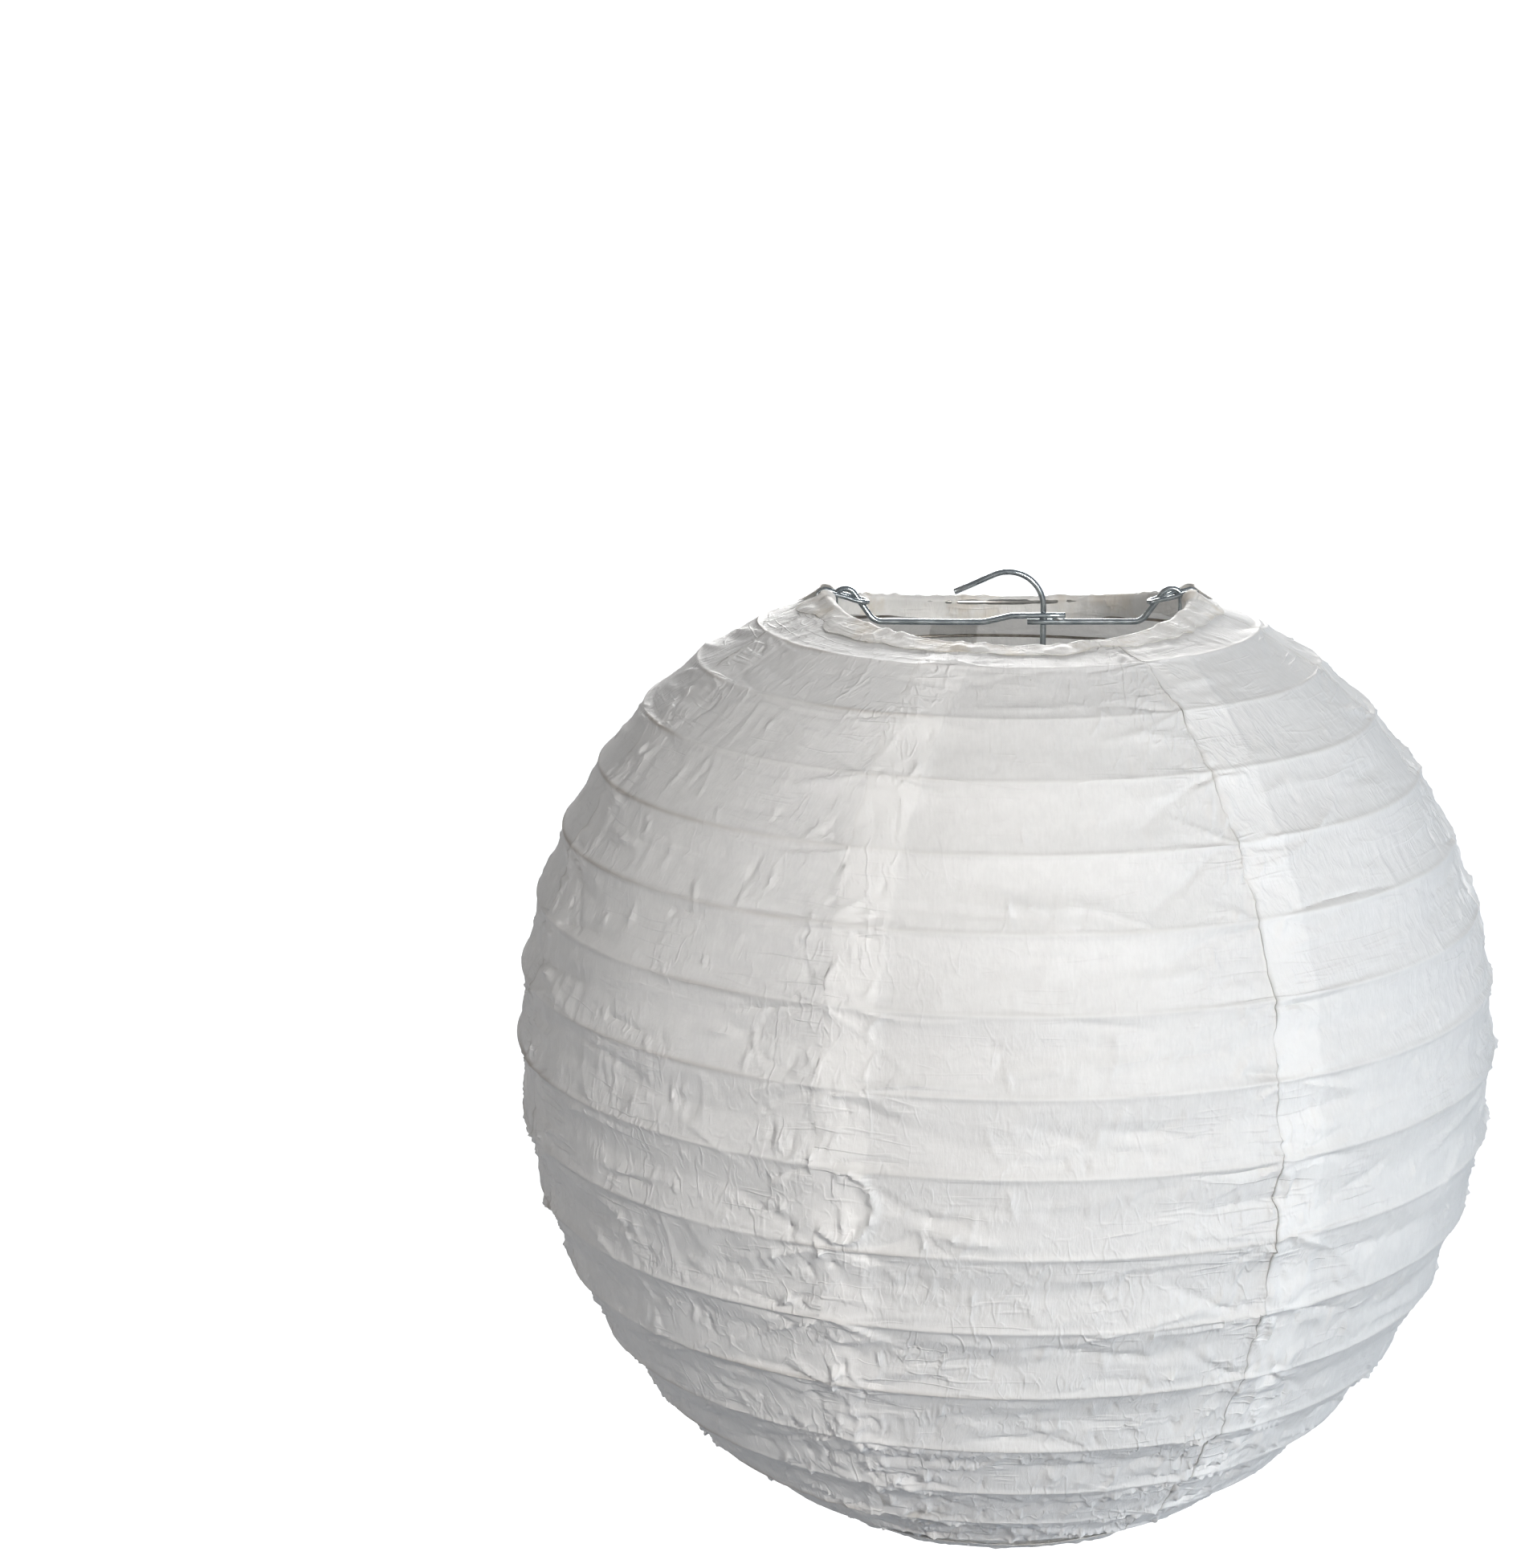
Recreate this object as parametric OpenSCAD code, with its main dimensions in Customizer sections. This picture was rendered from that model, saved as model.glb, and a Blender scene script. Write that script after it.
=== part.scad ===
// Ball-shaped paper lantern: lapped paper gores on level wire hoops, held open by a removable
// frame of bent wire with a hook welded on. Millimetres. The origin is the inside of the
// hanging hook's crown, +Z is up and +X runs along the frame's crossbar.

/* [Ball] */
// Diameter over the paper
ball_d = 250; // [240:5:260]
// Wire hoops between the two rings
rib_count = 15; // [11:2:17]
// Wire of the hoops
rib_wire = 0.8; // [0.7:0.1:1.1]
// Paper gores round the ball
gore_count = 7; // [5:1:9]
// Overlap of each gore on its neighbour at the equator
lap_w = 13; // [8:1:16]
// How much longer the lower half is drawn than a true ball's
lower_stretch = 1.069; // [1:0.001:1.08]
// Thickness of the paper
paper_t = 0.15; // [0.1:0.05:0.3]

/* [Rings] */
// Radius of the top and bottom rings, to the centre of the wire
ring_r = 46; // [45.5:0.1:47]
// Wire of the rings
ring_wire = 1.5; // [1.3:0.1:1.6]
// How far the top ring sits below the ball's true curve
top_sink = 4; // [2:0.2:5]
// Drop of the sprung top ring's front below its eyes
front_drop = 5.2; // [3:0.2:5.6]
// Drop of the sprung top ring's back below its eyes
back_drop = 9.5; // [6:0.5:10]
// Diameter of the paper hem rolled round each ring
hem_d = 3.4; // [3:0.1:3.6]
// Wire of the two eyes
eye_wire = 1.2; // [1:0.1:1.2]

/* [Wire frame] */
// Wire of the frame and of the hook
frame_wire = 1.5; // [1.3:0.1:1.5]
// Distance of each leg from the middle
leg_x = 43.5; // [43:0.1:43.6]
// Distance from the middle to where the crossbar turns up to each hump
bend_x = 33.6; // [33:0.1:34]
// Steepness of the wire between the crossbar and a hump
slope_a = 55; // [53:1:56]
// Height of the eyes above the crossbar
eye_rise = 6.5; // [6:0.1:7]
// Height above the crossbar at which an eye's tip rests on the slope
tip_rise = 5.1; // [4.8:0.1:5.4]
// Distance from the middle to the outside of each foot
foot_x = 49.5; // [48.5:0.1:50]

/* [Hook] */
// Radius of the hanging hook, to the centre of the wire
hook_r = 9; // [8:0.5:10]
// Centre of the hook's curve above the crossbar
hook_lift = 3.5; // [3:0.5:5]
// Turn of the hook's curve from the shank to the tail
hook_turn = 114; // [100:1:125]
// Length of the hook's straight tail
tail_len = 10.6; // [6:0.2:12]
// Depth of the lamp hook below the crossbar
lamp_hook_depth = 24; // [20:1:28]
// Radius of the lamp hook
lamp_hook_r = 4; // [3.5:0.5:5]

/* [Hidden] */

// Clearances
paper_gap = 0.25;      // paper to hoop
lap_gap = 0.1;         // one paper layer to the next, and one crossbar end to the other
eye_gap = 0.4;         // eye curl to the ring inside it
rest_gap = 0.1;        // eye tip to the slope, and foot to the bottom ring
hem_gap = 0.05;        // hem to the ring inside it
weld_sink = 0.1;       // how far the hook sinks into the crossbar at their weld

// Levels along Z, from the hook's crown; level k is hoop k, 0 is the top ring's eyes, and the
// level after the last hoop is the bottom ring
crossbar_z = frame_wire / 2 - hook_r - hook_lift;
eye_z = crossbar_z + eye_rise;
hoop_r = ball_d / 2 - paper_t - paper_gap - rib_wire / 2;
ring_lat = acos(ring_r / hoop_r);
sink_levels = 3;       // the first level that the sunk top doesn't reach
sprung_hoops = 2;      // hoops whose back is pulled down with the top ring's
function lat(k) = ring_lat * (1 - 2 * k / (rib_count + 1));
function level_r(k) = hoop_r * cos(lat(k));
function sink(k) = top_sink * pow(max(0, 1 - k / sink_levels), 1.3);
function ball_h(k) = hoop_r * sin(lat(k)) * (lat(k) < 0 ? lower_stretch : 1) - sink(k);
function hoop_drop(k) = k > sprung_hoops ? 0 : back_drop * pow(1 - k / (sprung_hoops + 1.2), 1.2);
centre_z = eye_z - ball_h(0);
function level_z(k) = centre_z + ball_h(k);
last_level = rib_count + 1;
bottom_z = level_z(last_level);

// Paper
wall_offset = rib_wire / 2 + paper_gap;
lap_offset = wall_offset + paper_t + lap_gap;
gore_a = 360 / gore_count;
lap_a = lap_w / (PI * ball_d) * 360;
first_seam_a = -114;   // of the gore whose edge is left of the front
edge_gap_a = 0.3;      // between a gore's step and the edge tucked under it
step_a = 0.4;          // width of that step
step_trim = 0.03;
step_trim_a = 0.08;
neck_r = ring_r + hem_d / 2 + 0.5;
neck_top_z = eye_z - front_drop;
neck_bottom_z = bottom_z;
hem_gap_y = 3.6;       // half the opening left in a hem for an eye or a foot
hem_gap_a = asin(hem_gap_y / ring_r);

// Wire shapes
swell = 0.06;          // of the ball where two halves of a sprung ring meet
hump_bend_r = 2.6;
crossbar_bend_r = 4;
kink_bend_r = 3;
foot_pitch = 3.4;      // between the two wires of a foot
foot_bend_r = foot_pitch / 2 - 0.1;
ankle_bend_r = 1.6;
bar_z = bottom_z + (ring_wire + frame_wire) / 2 + rest_gap;
apex_rise = (leg_x - bend_x) * tan(slope_a);
lap_end_x = 14.3;      // end of the crossbar wire that lies on top
lap_start_x = 5;       // end of the crossbar wire below it
lap_rise = frame_wire + lap_gap;
kink_top_x = 1;
kink_foot_x = -6;

// Eye: a hairpin of wire whose two ends curl round the ring
eye_half_w = 2.2;
curl_a = 270;
curl_steps = 16;
tip_steps = 12;
curl_r = (ring_wire + eye_wire) / 2 + eye_gap;
hinge_x = sqrt(ring_r * ring_r - eye_half_w * eye_half_w);
hinge_z = eye_z - eye_half_w * (front_drop + back_drop) / 2 / ring_r;
tip_x = bend_x + tip_rise / tan(slope_a) - ((frame_wire + eye_wire) / 2 + rest_gap) / sin(slope_a);
tip_reach = norm([hinge_x - tip_x, hinge_z - crossbar_z - tip_rise]);
arm_len = sqrt(tip_reach * tip_reach - curl_r * curl_r);
eye_tilt = atan2(curl_r, arm_len) + atan2(hinge_z - crossbar_z - tip_rise, hinge_x - tip_x);

wire_sides = 14;
bend_step_a = 15;
wire_fn = 24;
ring_fn = 120;
ball_fn = 180;

function two_digits(k) = k < 10 ? str("0", k) : str(k);
function rib_name(k) = str("rib_", two_digits(k));
function gore_name(k) = str("paper_gore_", k);

// Turn of a flat path at point i, anticlockwise positive
function path_turn(p, i) =
    let (a = p[i] - p[i - 1], b = p[i + 1] - p[i])
    atan2(a.x * b.y - a.y * b.x, a.x * b.x + a.y * b.y);

// Heading of a flat path from point i to the next
function heading(p, i) = atan2(p[i + 1].y - p[i].y, p[i + 1].x - p[i].x);

// One cross-section of a wire that runs in the XZ plane: its centre, and the two directions that
// its circle is drawn in
function upright_ring(at, heading_a) =
    [[at.x, 0, at.y], [-sin(heading_a), 0, cos(heading_a)], [0, -1, 0]];

// The cross-sections round the bend at point i of a flat path, of radius r
function bend_rings(p, r, i) =
    let (
        turn = path_turn(p, i),
        side = sign(turn),
        in_a = heading(p, i - 1),
        from = p[i] - r * tan(abs(turn) / 2) * [cos(in_a), sin(in_a)],
        centre = from + side * r * [-sin(in_a), cos(in_a)],
        steps = ceil(abs(turn) / bend_step_a)
    )
    [for (j = [0 : steps])
        let (a = in_a + turn * j / steps)
        upright_ring(centre + side * r * [sin(a), -cos(a)], a)
    ];

// All the cross-sections of a wire along the flat path p, with bend radius r[i] at each point
function path_rings(p, r) =
    let (last = len(p) - 1)
    concat(
        [upright_ring(p[0], heading(p, 0))],
        [for (i = [1 : last - 1]) each bend_rings(p, r[i], i)],
        [upright_ring(p[last], heading(p, last - 1))]
    );

// A wire of diameter d through a list of cross-sections
module wire(rings, d) {
    last = len(rings) - 1;
    points = [
        for (ring = rings, i = [0 : wire_sides - 1])
            let (a = 360 * i / wire_sides)
            ring[0] + d / 2 * (cos(a) * ring[1] + sin(a) * ring[2])
    ];
    walls = [
        for (j = [0 : last - 1], i = [0 : wire_sides - 1])
            let (here = j * wire_sides, i_next = (i + 1) % wire_sides)
            [here + i, here + wire_sides + i, here + wire_sides + i_next, here + i_next]
    ];
    start_cap = [for (i = [0 : wire_sides - 1]) i];
    end_cap = [for (i = [wire_sides - 1 : -1 : 0]) last * wire_sides + i];
    polyhedron(points = points, faces = concat(walls, [start_cap, end_cap]));
}

// A level hoop of wire, or part of one
module hoop(r, d, turn = 360) {
    rotate_extrude(angle = turn, $fn = ring_fn)
        translate([r, 0])
            circle(d = d, $fn = wire_fn);
}

// Half of a sprung ring's shape, of radius r: side 1 is the back and side -1 the front, and its
// middle is drop lower than its ends
module sprung_half(side, r, drop) {
    rotate([0, 0, side > 0 ? 0 : 180])
        rotate([-asin(drop / r), 0, 0])
            children();
}

// A ring sprung down at its front and back, with its two ends at z = 0
module sprung_ring(r, d, front, back) {
    sprung_half(-1, r, front) hoop(r, d, 180);
    sprung_half(1, r, back) hoop(r, d, 180);
    for (side = [-1, 1])
        translate([side * r, 0, 0]) sphere(d = d + swell, $fn = wire_fn);
}

// A tube of rolled paper round half of a ring, open at both ends for the eyes or feet
module half_hem() {
    rotate([0, 0, hem_gap_a])
        rotate_extrude(angle = 180 - 2 * hem_gap_a, $fn = ring_fn)
            translate([ring_r, 0])
                difference() {
                    circle(d = hem_d, $fn = wire_fn);
                    circle(d = ring_wire + 2 * hem_gap, $fn = wire_fn);
                }
}

// Outline of the paper at a distance outside the hoops' wires, from the bottom neck up over each
// hoop to the top neck; trim cuts the two necks back
function paper_line(offset, trim) = concat(
    [[neck_r + trim, neck_bottom_z - (offset - wall_offset)]],
    [for (k = [rib_count : -1 : 1])
        [level_r(k), level_z(k)] + offset / cos(ring_lat / last_level) * [cos(lat(k)), sin(lat(k))]
    ],
    [[neck_r + trim, neck_top_z + (offset - wall_offset)]]
);

function reversed(list) = [for (i = [len(list) - 1 : -1 : 0]) list[i]];

// The paper between two distances from the hoops' wires, from angle from_a round to to_a
module paper_wall(inner, outer, from_a, to_a, trim = 0) {
    rotate([0, 0, from_a])
        rotate_extrude(angle = to_a - from_a, $fn = ball_fn)
            polygon(concat(paper_line(inner, trim), reversed(paper_line(outer, trim))));
}

module expander_frame() {
    foot_top_z = bar_z + foot_pitch;
    path = [
        [lap_end_x, crossbar_z + lap_rise],
        [kink_top_x, crossbar_z + lap_rise],
        [kink_foot_x, crossbar_z],
        [-bend_x, crossbar_z],
        [-leg_x, crossbar_z + apex_rise],
        [-leg_x, foot_top_z],
        [-foot_x, foot_top_z],
        [-foot_x, bar_z],
        [foot_x, bar_z],
        [foot_x, foot_top_z],
        [leg_x, foot_top_z],
        [leg_x, crossbar_z + apex_rise],
        [bend_x, crossbar_z],
        [lap_start_x, crossbar_z]
    ];
    bends = [
        0, kink_bend_r, kink_bend_r, crossbar_bend_r, hump_bend_r, ankle_bend_r, foot_bend_r,
        foot_bend_r, foot_bend_r, foot_bend_r, ankle_bend_r, hump_bend_r, crossbar_bend_r, 0
    ];
    color("silver")
        wire(path_rings(path, bends), frame_wire);
}

module hanging_hook() {
    curve_z = crossbar_z + hook_lift;
    apex = [hook_r, curve_z + hook_r * tan(hook_turn / 2)];
    tail_dir = [cos(90 + hook_turn), sin(90 + hook_turn)];
    lamp_z = crossbar_z - lamp_hook_depth;
    lamp_tip_x = hook_r - 2 * lamp_hook_r;
    path = [
        apex + tail_dir * (hook_r * tan(hook_turn / 2) + tail_len),
        apex,
        [hook_r, lamp_z],
        [lamp_tip_x, lamp_z],
        [lamp_tip_x, lamp_z + 1.8 * lamp_hook_r]
    ];
    lamp_bend_r = lamp_hook_r - 0.1;
    color("silver")
        translate([0, frame_wire - weld_sink, 0])
            wire(path_rings(path, [0, hook_r, lamp_bend_r, lamp_bend_r, 0]), frame_wire);
}

module top_ring() {
    color("lightsteelblue")
        translate([0, 0, eye_z]) sprung_ring(ring_r, ring_wire, front_drop, back_drop);
}

module bottom_ring() {
    color("lightsteelblue")
        translate([0, 0, bottom_z]) hoop(ring_r, ring_wire);
}

// Cross-sections of the eye round one curl, from angle from_a to to_a, on the side y
function curl_rings(y, from_a, to_a) =
    [for (j = [0 : curl_steps])
        let (a = from_a + (to_a - from_a) * j / curl_steps)
        [[curl_r * cos(a), y, curl_r * sin(a)], [0, sign(y), 0], [cos(a), 0, sin(a)]]
    ];

// Cross-sections round the eye's tip
tip_rings = [
    for (j = [0 : tip_steps])
        let (a = 90 + 180 * j / tip_steps, out = [cos(a), sin(a), 0])
        [[eye_half_w - arm_len, 0, curl_r] + eye_half_w * out, out, [0, 0, 1]]
];

module eye(side) {
    rings = concat(
        curl_rings(eye_half_w, 90 - curl_a, 90),
        tip_rings,
        curl_rings(-eye_half_w, 90, 90 - curl_a)
    );
    color("gainsboro")
        rotate([0, 0, side > 0 ? 0 : 180])
            translate([hinge_x, 0, hinge_z])
                rotate([0, -eye_tilt, 0])
                    wire(rings, eye_wire);
}

module top_eye_left() {
    eye(-1);
}

module top_eye_right() {
    eye(1);
}

module top_binding() {
    color("ivory")
        translate([0, 0, eye_z]) {
            sprung_half(-1, ring_r, front_drop) half_hem();
            sprung_half(1, ring_r, back_drop) half_hem();
        }
}

module bottom_binding() {
    color("ivory")
        for (turn = [0, 180])
            translate([0, 0, bottom_z]) rotate([0, 0, turn]) half_hem();
}

module rib(k) {
    color("gray")
        translate([0, 0, level_z(k)])
            if (k > sprung_hoops) hoop(level_r(k), rib_wire);
            else sprung_ring(level_r(k), rib_wire, 0, hoop_drop(k));
}

// Gore k lies over the gore before it at its first edge and under the next at its last
module paper_gore(k) {
    edge_a = first_seam_a + (k - 1) * gore_a;
    step_from_a = edge_a + lap_a + edge_gap_a;
    step_to_a = step_from_a + step_a;
    color("white") {
        paper_wall(lap_offset, lap_offset + paper_t, edge_a, step_to_a);
        paper_wall(wall_offset, wall_offset + paper_t, step_from_a, edge_a + gore_a + lap_a);
        paper_wall(
            wall_offset + step_trim,
            lap_offset + paper_t - step_trim,
            step_from_a + step_trim_a,
            step_to_a - step_trim_a,
            step_trim
        );
    }
}

expander_frame();
hanging_hook();
top_ring();
bottom_ring();
top_eye_left();
top_eye_right();
top_binding();
bottom_binding();
for (k = [1 : rib_count]) {
    rib(k);
}
for (k = [1 : gore_count]) {
    paper_gore(k);
}
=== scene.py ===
"""Looks of a ball-shaped paper lantern: creased white paper over level wire hoops, held open by a
zinc-plated wire frame with a hanging hook. Lengths are in millimetres until a mesh is made."""

import math

import bpy
import numpy as np
from mathutils import Matrix, Vector


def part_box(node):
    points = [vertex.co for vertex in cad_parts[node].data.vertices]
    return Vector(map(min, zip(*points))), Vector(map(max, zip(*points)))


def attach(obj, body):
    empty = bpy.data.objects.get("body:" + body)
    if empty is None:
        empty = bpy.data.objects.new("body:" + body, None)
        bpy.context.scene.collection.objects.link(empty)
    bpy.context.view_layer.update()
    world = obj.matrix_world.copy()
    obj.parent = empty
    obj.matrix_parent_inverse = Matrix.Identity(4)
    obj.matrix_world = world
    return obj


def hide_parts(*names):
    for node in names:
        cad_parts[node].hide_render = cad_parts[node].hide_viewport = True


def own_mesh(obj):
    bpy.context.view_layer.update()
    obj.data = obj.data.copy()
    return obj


MM = 0.001
TAU = 2 * math.pi

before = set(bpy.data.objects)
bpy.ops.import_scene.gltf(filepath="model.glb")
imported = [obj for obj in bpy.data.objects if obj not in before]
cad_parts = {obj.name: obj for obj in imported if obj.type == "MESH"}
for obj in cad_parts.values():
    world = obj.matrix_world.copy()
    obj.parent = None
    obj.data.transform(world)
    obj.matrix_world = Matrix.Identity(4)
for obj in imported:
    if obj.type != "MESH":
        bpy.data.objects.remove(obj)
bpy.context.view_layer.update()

# ---------------------------------------------------------------- sizes, from the frame


def low_high(node):
    low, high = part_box(node)
    return np.array(low) / MM, np.array(high) / MM


RIBS = sorted(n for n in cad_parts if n.startswith("rib_"))
GORES = sorted(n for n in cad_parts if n.startswith("paper_gore_"))
LAST = len(RIBS) + 1  # level 0 is the top ring, 1 to 15 the hoops, and 16 the bottom ring
LEVEL_NODES = ["top_ring"] + RIBS + ["bottom_ring"]

SPRUNG_LEVELS = 3  # the ring and the two hoops that are sprung down with it at the back

RING_WIRE = float(np.subtract(*low_high("bottom_ring")[::-1])[2])
RIB_WIRE = float(np.subtract(*low_high(RIBS[4])[::-1])[2])
LEVEL_WIRE = np.array([RING_WIRE] + [RIB_WIRE] * len(RIBS) + [RING_WIRE])
LEVEL_R = np.array([low_high(n)[1][0] for n in LEVEL_NODES]) - LEVEL_WIRE / 2
LEVEL_Z = np.array([low_high(n)[1][2] for n in LEVEL_NODES]) - LEVEL_WIRE / 2
BACK_DROP = LEVEL_Z - np.array([low_high(n)[0][2] for n in LEVEL_NODES]) - LEVEL_WIRE / 2
BACK_DROP[SPRUNG_LEVELS:] = 0
FRONT_DROP = np.array([5.2] + [0.0] * LAST)
DROP_EASE = 0.12  # how softly a sprung ring turns down from its eyes

RING_R, EYE_Z, BOTTOM_Z = LEVEL_R[0], LEVEL_Z[0], LEVEL_Z[-1]
HOOP_R = LEVEL_R.max()
RING_LAT = math.acos(RING_R / HOOP_R)
LEVEL_LAT = RING_LAT * (1 - 2 * np.arange(LAST + 1) / LAST)
CENTRE_Z = LEVEL_Z[len(RIBS) // 2 + 1]

# Paper
PAPER_T = 0.15
PAPER_GAP = 0.12  # paper to hoop
LAP_GAP = 0.05
LAP_W = 13.0
FIRST_SEAM = math.radians(-114)
GORE_A = TAU / len(GORES)
NECK_NOTCH = 0.16  # of the top band, cut away round each eye

# Levels along the paper, measured down the meridian
BAND_LEN = np.hypot(np.diff(LEVEL_R), np.diff(LEVEL_Z))
LEVEL_V = np.concatenate([[0], np.cumsum(BAND_LEN)])


def seam_angle(k):
    return FIRST_SEAM + k * GORE_A


def radius_at(v):
    return np.interp(v, LEVEL_V, LEVEL_R)


# ---------------------------------------------------------------- noise

NOISE_ROWS = 512


def lattice_noise(x, y, cells, seed):
    """Smooth noise from -1 to 1; x repeats after that many cells."""
    table = np.random.RandomState(seed).uniform(-1, 1, (cells, NOISE_ROWS))
    xi, yi = np.floor(x).astype(int), np.floor(y).astype(int)
    fx, fy = x - xi, y - yi
    fx, fy = fx * fx * (3 - 2 * fx), fy * fy * (3 - 2 * fy)
    x0, x1, y0, y1 = xi % cells, (xi + 1) % cells, yi % NOISE_ROWS, (yi + 1) % NOISE_ROWS
    top = table[x0, y0] * (1 - fx) + table[x1, y0] * fx
    low = table[x0, y1] * (1 - fx) + table[x1, y1] * fx
    return top * (1 - fy) + low * fy


def round_noise(theta, v, size_u, size_v, seed):
    """Noise over the ball whose blobs are about size_u by size_v millimetres at the equator."""
    cells = max(3, int(round(TAU * HOOP_R / size_u)))
    return lattice_noise(theta / TAU * cells, v / size_v, cells, seed)


def smooth(x, low, high):
    t = np.clip((x - low) / (high - low), 0, 1)
    return t * t * (3 - 2 * t)


# ---------------------------------------------------------------- the shade's shape


def level_drop(k, theta):
    """How far the level's wire is sprung down at theta."""
    x = np.abs(np.sin(theta))
    ease = (np.sqrt(x * x + DROP_EASE**2) - DROP_EASE) / (math.sqrt(1 + DROP_EASE**2) - DROP_EASE)
    return np.where(np.sin(theta) < 0, FRONT_DROP[k], BACK_DROP[k]) * ease


def over_wires(s, theta):
    """Radius and height of the straight lines over the hoops' wires, at level s and angle theta."""
    k = np.clip(np.floor(s).astype(int), 0, LAST - 1)
    t = s - k

    def contact(level):
        reach = LEVEL_WIRE[level] / 2 + PAPER_GAP + PAPER_T
        lat = LEVEL_LAT[level]
        return (
            LEVEL_R[level] + reach * np.cos(lat),
            LEVEL_Z[level] - level_drop(level, theta) + reach * np.sin(lat),
        )

    (r0, z0), (r1, z1) = contact(k), contact(k + 1)
    return r0 + (r1 - r0) * t, z0 + (z1 - z0) * t


def paper_point(s, theta, out):
    """The paper's outer face, a distance out from the straight lines over the wires."""
    r, z = over_wires(s, theta)
    lat = np.interp(s, np.arange(LAST + 1), LEVEL_LAT)
    r, z = r + out * np.cos(lat), z + out * np.sin(lat)
    return np.stack([r * np.cos(theta), r * np.sin(theta), z], -1)


SAG = np.interp(np.arange(LAST), [0, 2, 4, 6, 12, 15], [0.2, 0.42, 0.68, 1.25, 1.4, 0.95])
RIDGE_H = np.interp(np.arange(LAST + 1), [0, 3, 7, 13, 16], [0.2, 0.26, 0.46, 0.44, 0.34])
RIDGE_W = 0.75


def band_shape(s, theta):
    """How the paper sags between hoops: a shallow V with a soft fold, and a ridge on each hoop."""
    k = np.clip(np.floor(s).astype(int), 0, LAST - 1)
    t = s - k
    fold = 0.47 + 0.13 * round_noise(theta, k * 7.3, 70, 1, 3) + 0.03 * round_noise(theta, k * 3.1, 14, 1, 4)
    depth = SAG[k] * (1 + 0.4 * round_noise(theta, k * 5.7, 45, 1, 5))
    a = np.where(t < fold, t / fold, (1 - t) / (1 - fold))
    sag = 1 - (np.sqrt((1 - a) ** 2 + 0.07**2) - 0.07)
    from_wire = np.minimum(t, 1 - t) * BAND_LEN[k]
    ridge = np.exp(-((from_wire / RIDGE_W) ** 2))
    level = np.round(s)
    height = RIDGE_H[level.astype(int)] * (0.85 + 0.35 * round_noise(theta, level * 4.3, 30, 1, 6))
    return -depth * sag - height * (1 - ridge)


# ---------------------------------------------------------------- creases

# Each crease: angle, distance down the paper, heading, length, width, height, how it fades, bend
creases = []
CREASE_SCALE = 2.9
# How strong the creases are at these levels: the paper is smoother towards the top
CREASED_LEVELS = [0, 3, 6, 9, 12]
CREASED = (0.4, 0.7, 0.95, 1.05, 1.12)
rng = np.random.RandomState(11)


def add_crease(theta, v, heading, length, width, height, fade, bend=0.0):
    creases.append((theta, v, heading, length, width, height, fade, bend))


for seam in range(len(GORES)):
    for level in range(1, LAST):
        edge_v = LEVEL_V[level]
        count = rng.randint(3, 6) if level < 5 else rng.randint(5, 9)
        for _ in range(count):  # long folds that fan out of where a hoop crosses a seam
            side = rng.choice([-1, 1])
            tilt = rng.uniform(0.05, 0.5) * rng.choice([-1, 1], p=[0.35, 0.65])
            start = LAP_W * rng.uniform(0.0, 1.0) if side > 0 else -rng.uniform(0, 2)
            add_crease(
                seam_angle(seam) + start / radius_at(edge_v),
                edge_v + rng.uniform(-0.8, 1.6),
                tilt if side > 0 else math.pi - tilt,
                rng.gamma(3.0, 7.0) + 6,
                rng.uniform(0.5, 1.0),
                rng.uniform(0.18, 0.58) * rng.choice([-1, 1]),
                "start",
                rng.uniform(-0.01, 0.01),
            )
        for _ in range(rng.randint(5, 9) + level // 2):  # short puckers round the seam's free edge
            add_crease(
                seam_angle(seam) + rng.normal(-1.0, 3.0 + 0.35 * level) / radius_at(edge_v),
                edge_v + rng.normal(0, 4.0),
                rng.uniform(0, TAU),
                rng.uniform(2.5, 8),
                rng.uniform(0.4, 0.7),
                rng.uniform(0.15, 0.5) * rng.choice([-1, 1]) * min(1, 0.35 + level / 9),
                "both",
                rng.uniform(-0.08, 0.08),
            )
        for _ in range(rng.randint(2, 5)):  # wrinkles in the double layer
            add_crease(
                seam_angle(seam) + rng.uniform(0, LAP_W) / radius_at(edge_v),
                edge_v + rng.uniform(2, 17),
                rng.normal(math.pi / 2, 0.6),
                rng.uniform(3, 9),
                rng.uniform(0.5, 0.8),
                rng.uniform(0.12, 0.36) * rng.choice([-1, 1]),
                "both",
                rng.uniform(-0.06, 0.06),
            )

for band in range(LAST):  # short wiggly crinkles between two hoops, more of them lower down
    share = float(np.interp(band, [0, 3, 6, 9, 12, 15], [0.1, 0.2, 0.45, 0.9, 1.1, 0.8]))
    around = TAU * LEVEL_R[band : band + 2].mean()
    for _ in range(int(share * around / 3.4)):
        add_crease(
            rng.uniform(0, TAU),
            LEVEL_V[band] + BAND_LEN[band] * rng.uniform(0.1, 0.8),
            rng.normal(math.pi / 2, 0.42),
            rng.uniform(2.0, 9),
            rng.uniform(0.35, 0.6),
            rng.uniform(0.1, 0.36) * (1 if rng.uniform() < 0.7 else -1),
            "both",
            rng.uniform(-0.14, 0.14),
        )
    for _ in range(int(1.3 * around / 22)):  # long shallow folds, nearly level
        add_crease(
            rng.uniform(0, TAU),
            LEVEL_V[band] + BAND_LEN[band] * rng.uniform(0.15, 0.85),
            rng.normal(0, 0.16),
            rng.uniform(12, 45),
            rng.uniform(0.6, 1.1),
            rng.uniform(0.12, 0.38) * rng.choice([-1, 1]),
            "both",
            rng.uniform(-0.006, 0.006),
        )

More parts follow.
